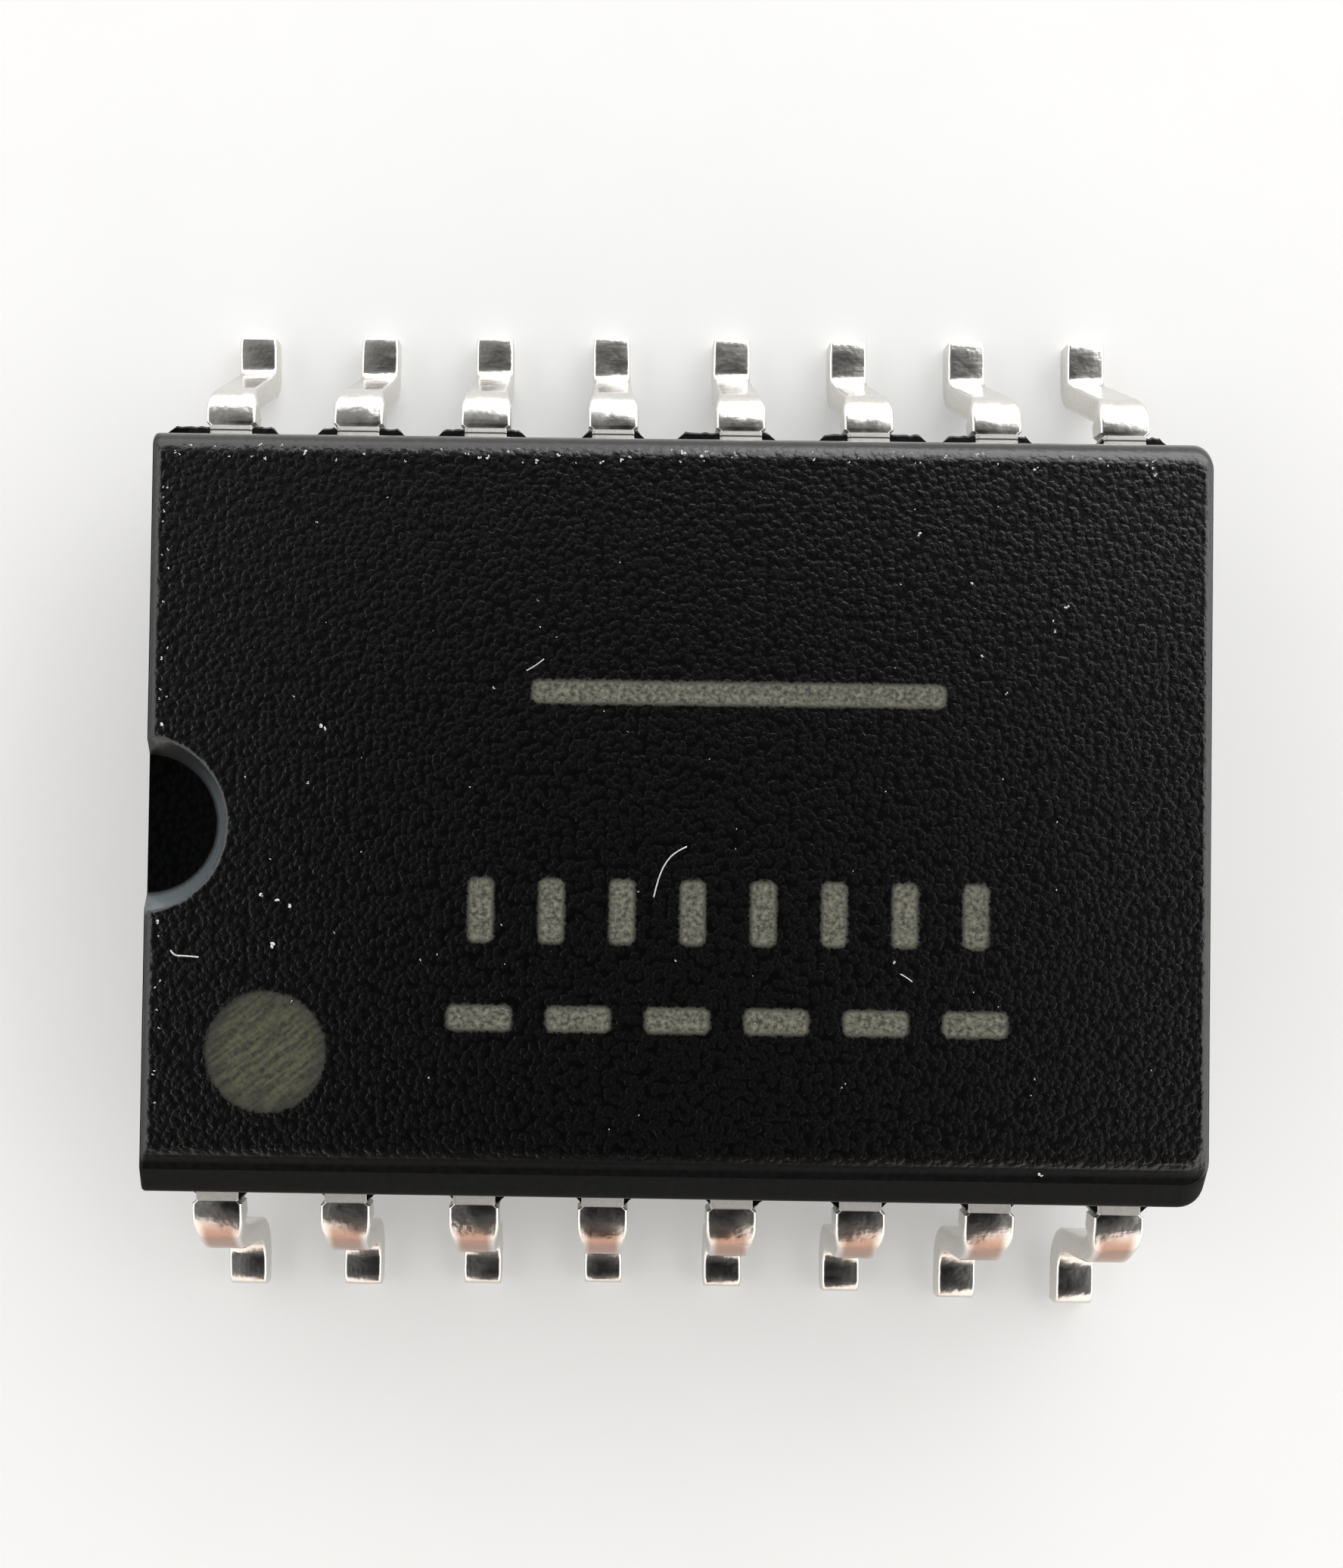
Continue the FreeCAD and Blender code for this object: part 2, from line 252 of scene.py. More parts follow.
# %% Where the laser marks lie, in millimetres from the middle
# The dot beside pin 1, a long bar, a row of upright blocks and a row of lying ones: first and last middle,
# the row's own y, how many blocks, half their width, half their height and their corner radius.
mark_rows = (
    (-3.76, -3.76, -2.20, 1, 0.55, 0.55, 0.55),
    (0.55, 0.55, 1.15, 1, 1.90, 0.10, 0.06),
    (-1.80, 2.75, -0.87, 8, 0.11, 0.29, 0.06),
    (-1.80, 2.75, -1.86, 6, 0.29, 0.11, 0.06),
)
top_mm = body_high[2] / mm
compound, tree, at = new_material("epoxy_mould_compound")
spot_x, spot_y, height = put(tree, "ShaderNodeSeparateXYZ", [at]).node.outputs
nearest = None
for first, last, row_y, count, half_wide, half_high, radius in mark_rows:
    from_first = put(tree, maths, [spot_x, first], **minus)
    if count > 1:
        # fold the row: measure from the nearest of its blocks
        step = (last - first) / (count - 1)
        block = put(tree, maths, [from_first, step], operation="DIVIDE")
        block = put(tree, maths, [block], operation="ROUND")
        block = put(tree, "ShaderNodeClamp", [block, 0.0, count - 1.0])
        from_first = put(tree, maths, [block, -step, from_first], **times_plus)
    from_row = put(tree, maths, [spot_y, row_y], **minus)
    away = put(tree, "ShaderNodeCombineXYZ", [from_first, from_row, 0.0])
    folded = put(tree, vector_maths, [away], operation="ABSOLUTE")
    inner = (half_wide - radius, half_high - radius, 0.0)
    beyond = put(tree, vector_maths, [folded, inner], **minus)
    outside = put(tree, vector_maths, [beyond, (0.0, 0.0, 0.0)], operation="MAXIMUM")
    length = put(tree, vector_maths, [outside], out=1, operation="LENGTH")
    edge = put(tree, maths, [length, radius], **minus)
    nearest = edge if nearest is None else put(tree, maths, [nearest, edge], operation="MINIMUM")
print("rows of laser marks:", len(mark_rows))

# %% The moulded grain: warped cells of one pitch, with finer noise on their crests
grain_pitch = 0.070
grain_height = 0.0037
grain_zone = (top_mm - 0.050, top_mm - 0.022, 0.35, 1.0)
smooth_edge = (-3.20, -3.08, 0.10, 1.0)

feeds = {"Vector": at, "Scale": 1.6 / grain_pitch, "Detail": 2.0, "Roughness": 0.6}
fine = put(tree, noise, feeds, out=1)
warped = put(tree, vector_maths, [fine, (grain_pitch * 0.9,) * 3, at], **times_plus)
feeds = {"Vector": warped, "Scale": 1 / grain_pitch}
cells = put(tree, "ShaderNodeTexVoronoi", feeds, voronoi_dimensions="2D")
fine = put(tree, "ShaderNodeSeparateXYZ", [fine])
crest = put(tree, remap, [cells, 0.10, 0.70, 1.0, 0.0], **soft)
relief = put(tree, maths, [fine, 0.9, crest], **times_plus)
# the flat top has the full grain, apart from a strip along the bevel, and the rest a faint one
flat_top = put(tree, remap, [height, *grain_zone])
smoother = put(tree, remap, [spot_y, *smooth_edge])
flat_top = put(tree, maths, [flat_top, smoother], **times)
print("grain", grain_pitch, "mm apart")

# %% Masks for the lasered skin, the notch, the bevel and the left end
notch_radius = 0.82
notch_depth = 0.35
notch_spot = (-4.98, -0.12)
bevel_edge = (-3.24, -3.14, 1.0, 0.0)
bevel_foot = (2.14, 2.19, 0.0, 1.0)
end_zone = (-4.90, -4.84, 0.75, 0.0)
mark_skin = 0.05

ragged = put(tree, maths, [fine, 0.08, nearest], **times_plus)
lasered = put(tree, remap, [ragged, 0.020, 0.065, 1.0, 0.0])
on_top = put(tree, maths, [height, top_mm - mark_skin], operation="GREATER_THAN")
lasered = put(tree, maths, [lasered, on_top], **times)

from_axis = put(tree, vector_maths, [at, (1.0, 1.0, 0.0)], **times)
from_axis = put(tree, vector_maths, [from_axis, (*notch_spot, 0.0)], out=1, operation="DISTANCE")
notch_low = put(tree, remap, [height, top_mm - 0.05, top_mm - 0.02, 1.0, 0.0])
above_floor = put(tree, maths, [height, top_mm - notch_depth - 0.02], operation="GREATER_THAN")
notch_low = put(tree, maths, [notch_low, above_floor], **times)
notch_wall = put(tree, remap, [from_axis, notch_radius - 0.17, notch_radius - 0.12, 0.0, 1.0])
notch_end = put(tree, remap, [from_axis, notch_radius - 0.01, notch_radius + 0.04, 1.0, 0.0])
notch_wall = put(tree, maths, [notch_wall, notch_end], **times)
notch_wall = put(tree, maths, [notch_wall, notch_low], **times)
notch_floor = put(tree, remap, [from_axis, notch_radius - 0.18, notch_radius - 0.14, 1.0, 0.0])
notch_floor = put(tree, maths, [notch_floor, notch_low], **times)

bevel = put(tree, remap, [spot_y, *bevel_edge])
bevel = put(tree, maths, [bevel, put(tree, remap, [height, *bevel_foot])], **times)
left_end = put(tree, remap, [spot_x, *end_zone])
print("notch mask: radius", notch_radius, "mm")

# %% The resin's tones
# Painted highlight: the notch's wall gets a light grey-blue in its colour, most on the side of pin 1 and fading
# out towards the far side.
notch_highlight_fade = (0.0, 0.55, 1.0, 0.12)
dot_streaks = (3.0, 20.0, 1.0)
streak_angle = math.radians(-38)
rim_fade = (-0.14, 0.03, 1.0, 0.45)

resin_tone = put(tree, mix, {0: crest, 6: ink("#010101"), 7: ink("#060707")}, **colours)
painted_notch_highlight = put(tree, remap, [spot_y, *notch_highlight_fade], **soft)
notch_wall = put(tree, maths, [notch_wall, painted_notch_highlight], **times)
# painted highlight: the light grey-blue stands in for what the notch's wall would mirror
resin_tone = put(tree, mix, {0: notch_wall, 6: resin_tone, 7: ink("#535a5d")}, **colours)
speck = put(tree, remap, [fine, 0.35, 0.70, 0.0, 1.0])
burnt_tone = put(tree, mix, {0: speck, 6: ink("#30312a"), 7: ink("#777666")}, **colours)
# over the dot the laser ran to and fro in slanting lines, and more faintly
slanted = put(tree, "ShaderNodeVectorRotate", {"Vector": at, "Angle": streak_angle}, rotation_type="Z_AXIS")
slanted = put(tree, vector_maths, [slanted, dot_streaks], **times)
streak = put(tree, noise, {"Vector": slanted, "Scale": 1.0, "Detail": 1.0}, noise_dimensions="2D")
streak = put(tree, remap, [streak, 0.40, 0.60, 0.0, 1.0])
streak = put(tree, mix, {0: 0.45, 2: speck, 3: streak})
dot_tone = put(tree, mix, {0: streak, 6: ink("#15160f"), 7: ink("#505039")}, **colours)
to_rim = put(tree, remap, [ragged, *rim_fade])
dot_tone = put(tree, mix, {0: to_rim, 6: resin_tone, 7: dot_tone}, **colours)
dot_side = put(tree, maths, [spot_x, -3.0], operation="LESS_THAN")
burnt_tone = put(tree, mix, {0: dot_side, 6: burnt_tone, 7: dot_tone}, **colours)
tone = put(tree, mix, {0: lasered, 6: resin_tone, 7: burnt_tone}, **colours)
print("laser streaks slant by", round(math.degrees(streak_angle)), "degrees")

# %% Black epoxy mould compound
# Moulded epoxy has an IOR near 1.55. The bevel, the left end and the notch's floor have fine pores, which
# swallow much of what they would mirror.
shiny_resin, matt_bevel, burnt_skin = 0.23, 0.70, 0.75
full_gloss, pore_gloss = 0.5, 0.08

rough = put(tree, mix, {0: bevel, 2: shiny_resin, 3: matt_bevel})
rough = put(tree, mix, {0: lasered, 2: rough, 3: burnt_skin})
porous = put(tree, maths, [bevel, notch_floor], operation="MAXIMUM")
porous = put(tree, maths, [porous, left_end], operation="MAXIMUM")
mirrored = put(tree, mix, {0: porous, 2: full_gloss, 3: pore_gloss})
bump = put(tree, "ShaderNodeBump", {"Strength": flat_top, "Distance": grain_height * mm, "Height": relief})
feeds = {"Base Color": tone, "Roughness": rough, "IOR": 1.55, "Specular IOR Level": mirrored, "Normal": bump}
put(tree, "ShaderNodeOutputMaterial", [put(tree, "ShaderNodeBsdfPrincipled", feeds)])
print("nodes in the compound:", len(tree.nodes))

# %% [markdown]
# # The moulded body
# Two drafted halves meet at the parting line. The shape follows a rule: at each height the section is a
# rectangle with rounded corners, drawn in by the draft, by the rounding of the edges and, on the near side,
# by the 45 degree bevel. So the body is a stack of such rings, and the notch is cut from it afterwards.
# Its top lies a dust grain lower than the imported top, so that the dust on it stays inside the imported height.

# %% The body's rule, in millimetres
half_x = body_high[0] / mm
half_y = 3.75
bottom = body_low[2] / mm
dust_room = 0.012
top = top_mm - dust_room
parting = 1.35
draft = math.radians(12)
edge_radius = 0.08
far_edge_radius = 0.16
corner_radii = {"far right": 0.17, "far left": 0.05, "near left": 0.04, "near right": 0.24}
bevel_inset = 0.25
bevel_start = half_y - (top_mm - parting) * math.tan(draft) - bevel_inset
bevel_blend = 0.03


def rounded(wall, lean, z, face_z, radius):
    """How far a wall stands out at a height: its straight line, or the arc that turns it into the face."""
    down = abs(z - face_z)
    if down >= radius * (1 - math.sin(lean)):
        return wall
    # the arc's centre lies one radius below the face and one radius behind the wall
    centre = wall - (radius - down) * math.tan(lean) - radius / math.cos(lean)
    return centre + math.sqrt(max(radius ** 2 - (radius - down) ** 2, 0.0))


def extents(z):
    """Half length, far edge and near edge of the body at a height."""
    inset = abs(z - parting) * math.tan(draft)
    if z <= parting:
        y = rounded(half_y - inset, draft, z, bottom, edge_radius)
        return rounded(half_x - inset, draft, z, bottom, edge_radius), y, y
    x = rounded(half_x - inset, draft, z, top, edge_radius)
    far = rounded(half_y - inset, draft, z, top, far_edge_radius)
    bevel = rounded(bevel_start + (top_mm - z), math.radians(45), z, top, edge_radius)
    gap = abs(half_y - inset - bevel)
    return x, far, min(half_y - inset, bevel) - max(bevel_blend - gap, 0.0) ** 2 / (4 * bevel_blend)


def ring(z, corner_steps=8):
    """One rounded rectangle of the stack, counted anticlockwise from above."""
    x, far, near = extents(z)
    lost = (half_x - abs(z - parting) * math.tan(draft)) - x
    corners = [(1, far, "far right"), (-1, far, "far left")]
    corners += [(-1, -near, "near left"), (1, -near, "near right")]
    spots = []
    for quarter, (side, edge, corner) in enumerate(corners):
        r = max(corner_radii[corner] - lost, 0.02)
        cx = side * (x - r)
        cy = edge - math.copysign(r, edge)
        for step in range(corner_steps + 1):
            angle = math.radians(90 * quarter + 90 * step / corner_steps)
            spots.append(Vector((cx + r * math.cos(angle), cy + r * math.sin(angle), z)) * mm)
    return spots


turns = [draft + (math.pi / 2 - draft) * k / 9 for k in range(10)]
low_levels = [bottom + edge_radius * (1 - math.sin(a)) for a in turns]
high_levels = [top - radius * (1 - math.sin(a)) for a in turns for radius in (edge_radius, far_edge_radius)]
wall_levels = [0.8, parting - 0.004, parting, parting + 0.004]
bevel_levels = [1.90 + k * 0.045 for k in range(10)]
levels = sorted(set(low_levels + wall_levels + bevel_levels + high_levels))
print("rings:", len(levels), "of", len(ring(parting)), "points")


# %% Stack the rings
weld = 1e-4 * mm


def skin_rings(rings):
    """Joins rings of equal length with faces, and closes the first and the last."""
    made = bmesh.new()
    rows = [[made.verts.new(spot) for spot in one] for one in rings]
    count = len(rows[0])
    for lower, upper in zip(rows, rows[1:]):
        for k in range(count):
            made.faces.new((lower[k], lower[(k + 1) % count], upper[(k + 1) % count], upper[k]))
    made.faces.new(rows[0][::-1])
    made.faces.new(rows[-1])
    return made


def finish_mesh(made, name):
    """Turns bmesh work into a mesh with all normals outwards."""
    bmesh.ops.remove_doubles(made, verts=made.verts, dist=weld)
    bmesh.ops.recalc_face_normals(made, faces=made.faces)
    mesh = bpy.data.meshes.new(name)
    made.to_mesh(mesh)
    made.free()
    return mesh


body = link_mesh("package_body", finish_mesh(skin_rings([ring(z) for z in levels]), "package_body"), compound)
print("body faces:", len(body.data.polygons))

# %% [markdown]
# # The index notch
# A round recess that runs out through one end tells which way round the chip goes. Its wall is drafted so
# that the mould lets go, and its mouth is softly rounded. The cutter is a turned shape: a profile spun about
# an upright axis that stands just inside the end wall, and a Boolean takes it out of the body.

# %% Turn the cutter
notch_lean = math.radians(24)
mouth = 0.05
mouth_steps = 6
heel = 0.03
above_top = 0.2
turn_steps = 96


def notch_profile():
    """The cutter's half section, from its axis outwards and up."""
    floor_z = top_mm - notch_depth
    wall_low = notch_radius - notch_depth * math.tan(notch_lean)
    spots = [(0.0, floor_z), (wall_low - heel * 1.2, floor_z)]
    spots += [(wall_low - heel * 0.35, floor_z + heel * 0.18), (wall_low + heel * 0.25, floor_z + heel)]
    centre = notch_radius + mouth / math.cos(notch_lean) - mouth * math.tan(notch_lean)
    for step in range(mouth_steps + 1):
        angle = notch_lean + (math.pi / 2 - notch_lean) * step / mouth_steps
        spots.append((centre - mouth * math.cos(angle), top - mouth + mouth * math.sin(angle)))
    return spots + [(centre, top + above_top), (0.0, top + above_top)]


made = bmesh.new()
chain = [made.verts.new(Vector((notch_spot[0] + r, notch_spot[1], z)) * mm) for r, z in notch_profile()]
links = [made.edges.new(pair) for pair in zip(chain, chain[1:])]
axis_at = Vector((*notch_spot, 0)) * mm
bmesh.ops.spin(made, geom=chain + links, cent=axis_at, axis=(0, 0, 1), angle=2 * math.pi, steps=turn_steps)
cutter = link_mesh("notch_cutter", finish_mesh(made, "notch_cutter"), compound)
print("cutter faces:", len(cutter.data.polygons))


# %% Cut the notch
def bake_modifiers(piece):
    """Replaces a piece's mesh by what its modifiers make of it, and removes them."""
    seen = piece.evaluated_get(bpy.context.evaluated_depsgraph_get())
    done = bpy.data.meshes.new_from_object(seen)
    piece.modifiers.clear()
    piece.data = done


def smooth_shade(piece, sharp_degrees):
    """Smooth shading, sharp over an angle, with the large faces keeping their own normals."""
    piece.data.polygons.foreach_set("use_smooth", [True] * len(piece.data.polygons))
    piece.data.set_sharp_from_angle(angle=math.radians(sharp_degrees))
    weighted = piece.modifiers.new("weighted", "WEIGHTED_NORMAL")
    weighted.keep_sharp = True
    weighted.weight = 100
    bake_modifiers(piece)


cut = body.modifiers.new("notch", "BOOLEAN")
cut.operation = "DIFFERENCE"
cut.solver = "EXACT"
cut.object = cutter
bake_modifiers(body)
bpy.data.objects.remove(cutter)
smooth_shade(body, 28)
print("body faces with notch:", len(body.data.polygons))

# %% [markdown]
# # Mould flash
# Between the leads the dam bar held the resin back, and a punch took the bar out afterwards. It leaves
# thin fins of resin beside the leads at the parting line, nearly as thick as the leads and all of different
# lengths. Each is a short stack of outlines, made as the body is. Their broken edges are drawn with a
# seeded jitter, and their lengths are those of the photograph.

# %% Fins of resin beside the leads, in millimetres
# For each lead of a row: how long the fin on its left is, and the one on its right.
pitch = 1.27
per_row = 8
neck = 0.42
flash_depth = 0.10
flash_thick = 0.19
flash_root = half_y - 0.03
chipped = 0.08
flash_far = (
    (0.45, 0.29), (0.23, 0.28), (0.29, 0.22), (0.13, 0.13),
    (0.45, 0.16), (0.31, 0.39), (0.35, 0.17), (0.08, 0.23),
)
flash_near = (
    (0.05, 0.11), (0.05, 0.10), (0.06, 0.12), (0.08, 0.10),
    (0.07, 0.12), (0.11, 0.08), (0.10, 0.06), (0.12, 0.10),
)
flash_layers = ((-0.5, 0.75), (-0.36, 1.0), (0.36, 1.0), (0.5, 0.75))
dice = random.Random(7)


def fin_outline(length, steps=9):
    """How far a fin stands out along its length: full beside the lead, chipped, then nothing."""
    spots = []
    for step in range(steps + 1):
        along = step / steps
        fade = min(1.0, (1 - along) * length / chipped)
        spots.append((along * length, flash_depth * fade * dice.uniform(0.82, 1.0)))
    return spots


def column_x(column):
    """Where a lead stands along its row."""
    return (column - (per_row - 1) / 2) * pitch


made = bmesh.new()
for side, lengths in ((1, flash_far), (-1, flash_near)):
    for column, pair in enumerate(lengths):
        for way, length in zip((-1, 1), pair):
            start = column_x(column) + way * (neck / 2 - 0.01)
            outline = fin_outline(length)
            layers = []
            for z, shrink in flash_layers:
                row = [(start, flash_root)]
                row += [(start + way * along, half_y + out * shrink) for along, out in outline]
                row += [(start + way * length, flash_root)]
                layers.append([Vector((x, side * y, parting + z * flash_thick)) * mm for x, y in row])
            part = finish_mesh(skin_rings(layers), "fin")
            made.from_mesh(part)
            bpy.data.meshes.remove(part)
flash = link_mesh("mould_flash", finish_mesh(made, "mould_flash"), compound)
smooth_shade(flash, 35)
print("flash faces:", len(flash.data.polygons))

# %% [markdown]
# # Bright tin plate
# The leads are copper alloy strip plated with some ten micrometres of tin. Tin is soft: it goes on as a
# satin mirror, then the bending tool and the tester's sockets smear and scratch it. So the reflections are
# bright but broken, with a gentle waviness of two tenths of a millimetre and fine lines across. Two
# attributes of the mesh tell the plate where on the flat blank it lies, and in which row.

# %% Where the plate is matt, dark, painted with a warm reflection, or sheared
# Positions on the blank, in millimetres from the chip's middle line.
clamped = (3.830, 3.848, 1.0, 0.0)
dam_line = 3.795
line_width = (0.004, 0.012, 1.0, 0.0)
warm_reflection_at = 4.26
warm_reflection_length = (0.12, 0.34, 1.0, 0.0)
warm_reflection_width = (0.11, 0.21, 1.0, 0.0)
warm_reflection_share = (-1.0, 1.0, 0.85, 0.0)
sheared_below = (0.085, 0.110, 1.0, 0.0)

tin, tree, at = new_material("bright_tin_plate")
on_blank = put(tree, "ShaderNodeAttribute", out="Vector", attribute_name="flat")
row_side = put(tree, "ShaderNodeAttribute", out="Fac", attribute_name="side")
blank_x, blank_y, blank_z = put(tree, "ShaderNodeSeparateXYZ", [on_blank]).node.outputs
# beside the body, where the mould clamped the strip, the plate is matt, and in the far row a dark line
# marks where the dam ended
matt = put(tree, remap, [blank_y, *clamped])
from_line = put(tree, maths, [blank_y, dam_line], **minus)
from_line = put(tree, maths, [from_line], operation="ABSOLUTE")
line = put(tree, remap, [from_line, *line_width])
far_row = put(tree, maths, [row_side, 0.0], operation="GREATER_THAN")
line = put(tree, maths, [line, far_row], **times)
# painted reflection: over the bends of the near row a pinkish brown is painted into the tin's colour, standing
# in for a warm surrounding that the legs mirror
from_bend = put(tree, maths, [blank_y, warm_reflection_at], **minus)
from_bend = put(tree, maths, [from_bend], operation="ABSOLUTE")
from_middle = put(tree, maths, [blank_x], operation="ABSOLUTE")
inside = put(tree, remap, [from_middle, *warm_reflection_width], **soft)
upper_face = put(tree, maths, [blank_z, 0.1], operation="GREATER_THAN")
painted_warm_reflection = put(tree, remap, [from_bend, *warm_reflection_length], **soft)
for factor in (inside, upper_face, put(tree, remap, [row_side, *warm_reflection_share])):
    painted_warm_reflection = put(tree, maths, [painted_warm_reflection, factor], **times)
# the sides were sheared by the punch: their metal is torn and scatters light
level_in_strip = put(tree, maths, [blank_z], operation="ABSOLUTE")
sheared = put(tree, remap, [level_in_strip, *sheared_below])
# the painted warm reflection over the bends, printed here as copper, is centred this far from the middle line
print("copper shows", warm_reflection_at, "mm from the middle line")

# %% Tin plate
# A metal keeps the default IOR. The matt collar is tin with a skin of resin bleed, so it is less metallic.
plate_roughness = (0.14, 0.28)
collar_roughness, sheared_roughness = 0.90, 0.50
collar_metal = 0.35
scratches = (5.0, 45.0, 45.0)

wave = put(tree, noise, {"Vector": at, "Scale": 5.0, "Detail": 2.0, "Roughness": 0.55})
stretched = put(tree, vector_maths, [at, scratches], **times)
lines = put(tree, noise, {"Vector": stretched, "Scale": 1.0, "Detail": 2.0, "Roughness": 0.6})
crystals = put(tree, noise, {"Vector": at, "Scale": 28.0, "Detail": 2.0, "Roughness": 0.65})
tone = put(tree, mix, {0: crystals, 6: ink("#cfcdc8"), 7: ink("#ece9e4")}, **colours)
# painted reflection: the near row's bends get a pinkish brown for the warm surrounding they mirror
tone = put(tree, mix, {0: painted_warm_reflection, 6: tone, 7: ink("#a27c69")}, **colours)
tone = put(tree, mix, {0: line, 6: tone, 7: ink("#4a4a48")}, **colours)
rough = put(tree, remap, [wave, 0.30, 0.70, *plate_roughness])
rough = put(tree, mix, {0: matt, 2: rough, 3: collar_roughness})
rough = put(tree, mix, {0: sheared, 2: rough, 3: sheared_roughness})
smear = put(tree, maths, [lines, 0.5, crystals], **times_plus)
wavy = put(tree, "ShaderNodeBump", {"Strength": 0.5, "Distance": 0.018 * mm, "Height": wave})
bump = put(tree, "ShaderNodeBump", {"Strength": 0.4, "Distance": 0.003 * mm, "Height": smear, "Normal": wavy})
metal = put(tree, remap, [matt, 0.0, 1.0, 1.0, collar_metal])
feeds = {"Base Color": tone, "Metallic": metal, "Roughness": rough, "Normal": bump}
put(tree, "ShaderNodeOutputMaterial", [put(tree, "ShaderNodeBsdfPrincipled", feeds)])
print("nodes in the tin plate:", len(tree.nodes))

# %% [markdown]
# # The leads
# All sixteen leads start as one flat blank, punched from strip: a foot, the stubs of the dam bar, a neck,
# two wings that lock it in the resin, and a finger. Then a tool bends it down and out again. Geometry Nodes
# do the same here: they set the blank on each place of the row, and bend it by one formula with a slightly
# different lean for each lead, so that the rows look worked and not copied.

# %% The flat blank, one millimetre per unit
thick = 0.25
shoulder_end = half_y + 0.15
drop = parting - thick / 2
finger_turn = half_y - 0.85
blank_tip = 5.90
finger_length = 1.35
top_roll = 0.035
low_roll = 0.015
tip_roll = 0.150
tip_narrowing = 0.04


def half_width_at(s):
    """Half the blank's width at a distance from the chip's middle line."""
    stations = (
        (finger_turn - finger_length, 0.15), (finger_turn, 0.18),
        (half_y - 0.56, 0.18), (half_y - 0.54, 0.33), (half_y - 0.26, 0.33), (half_y - 0.24, 0.21),
        (half_y + 0.095, 0.21), (half_y + 0.125, 0.247), (half_y + 0.29, 0.250), (half_y + 0.36, 0.238),
        (half_y + 0.45, 0.208), (half_y + 0.52, 0.200), (9.0, 0.200),
    )
    for (s0, w0), (s1, w1) in zip(stations, stations[1:]):
        if s <= s1:
            return w0 + (w1 - w0) * max(s - s0, 0.0) / (s1 - s0)
    return stations[-1][1]


def blank_section(s):
    """The blank's section: rolled edges on top where the punch came down, sharper ones below."""
    past = max(s - (blank_tip - tip_roll), 0.0)
    w = half_width_at(s) - tip_narrowing * past
    h = thick / 2
    spots = []
    corners = ((w, h, top_roll, 4), (-w, h, top_roll, 4), (-w, -h, low_roll, 2), (w, -h, low_roll, 2))
    for quarter, (x, z, r, steps) in enumerate(corners):
        cx = x - math.copysign(r, x)
        cz = z - math.copysign(r, z)
        for step in range(steps + 1):
            angle = math.radians(90 * quarter + 90 * step / steps)
            spots.append(Vector((cx + r * math.cos(angle), s, cz + r * math.sin(angle))))
    return spots


marks_on_blank = [half_y + ahead for ahead in (-0.56, -0.54, -0.26, -0.24, 0.095, 0.125)]
steps_on_blank = [finger_turn - finger_length, finger_turn] + [half_y + 0.14 + 0.03 * k for k in range(66)]
steps_on_blank = [s for s in steps_on_blank if s < blank_tip - tip_roll - 0.01]
tip_stops = [blank_tip - tip_roll * (1 - math.sin(math.radians(15 * k))) for k in range(7)]
stops = sorted(set(round(s, 5) for s in marks_on_blank + steps_on_blank + tip_stops))
blank_mesh = finish_mesh(skin_rings([blank_section(s) for s in stops]), "lead_blank")
# each vertex remembers its place on the flat blank, and how far the shear rolls the upper face down at
# the tip
places_on_blank, rolls = [], []
for vertex in blank_mesh.vertices:
    past = max(vertex.co.y - (blank_tip - tip_roll), 0.0)
    sunk = tip_roll - math.sqrt(max(tip_roll ** 2 - past ** 2, 0.0))
    places_on_blank.extend(vertex.co)
    rolls.append(sunk * (vertex.co.z / thick + 0.5))
blank_mesh.attributes.new("flat", "FLOAT_VECTOR", "POINT").data.foreach_set("vector", places_on_blank)
blank_mesh.attributes.new("roll", "FLOAT", "POINT").data.foreach_set("value", rolls)
blank = link_mesh("lead_blank", blank_mesh, tin)
print("blank faces:", len(blank_mesh.polygons))

# %% Where each lead stands, as points with their own numbers
# The rows were bent by two tools: how far the legs lean, the radii of both bends, how much of the tip's roll
# a row has, and where the feet end. The far row is 1, the near row -1.
leans = {1: math.radians(23), -1: math.radians(9)}
upper_bends = {1: 0.305, -1: 0.42}
lower_bends = {1: 0.245, -1: 0.36}
roll_shares = {1: 0.10, -1: 0.70}
tips = {
    1: (5.11, 5.12, 5.13, 5.148, 5.148, 5.14, 5.148, 5.148),
    -1: (5.07, 5.06, 5.03, 5.00, 5.02, 5.05, 5.10, 5.14),
}
paddle_half = (1.70, 1.30)
finger_gap = 0.25
finger_pitch = 0.90

names = ("side", "stand", "row_lean", "row_bend", "low_bend", "row_roll", "tip")
names += ("finger_shift", "finger_reach")
rows = []
for side in (1, -1):
    for column in range(per_row):
        x = column_x(column)
        rank = int(abs(column - (per_row - 1) / 2))
        finger_x = (rank + 0.5) * finger_pitch if rank < 2 else paddle_half[0] + finger_gap
        finger_y = paddle_half[1] + finger_gap if rank < 2 else (per_row / 2 - rank - 0.5) * finger_pitch
        shift = (math.copysign(finger_x, x) - x) / finger_length
        reach = (finger_turn - finger_y) / finger_length
        bends = (leans[side], upper_bends[side], lower_bends[side], roll_shares[side])
        rows.append((side, x, *bends, tips[side][column], shift, reach))
places = bpy.data.meshes.new("lead_places")
places.from_pydata([(0.0, 0.0, 0.0)] * len(rows), [], [])
for name, values in zip(names, zip(*rows)):
    places.attributes.new(name, "FLOAT", "POINT").data.foreach_set("value", list(values))
leads = link_mesh("tinned_leads", places, tin)
print("places:", len(places.vertices))

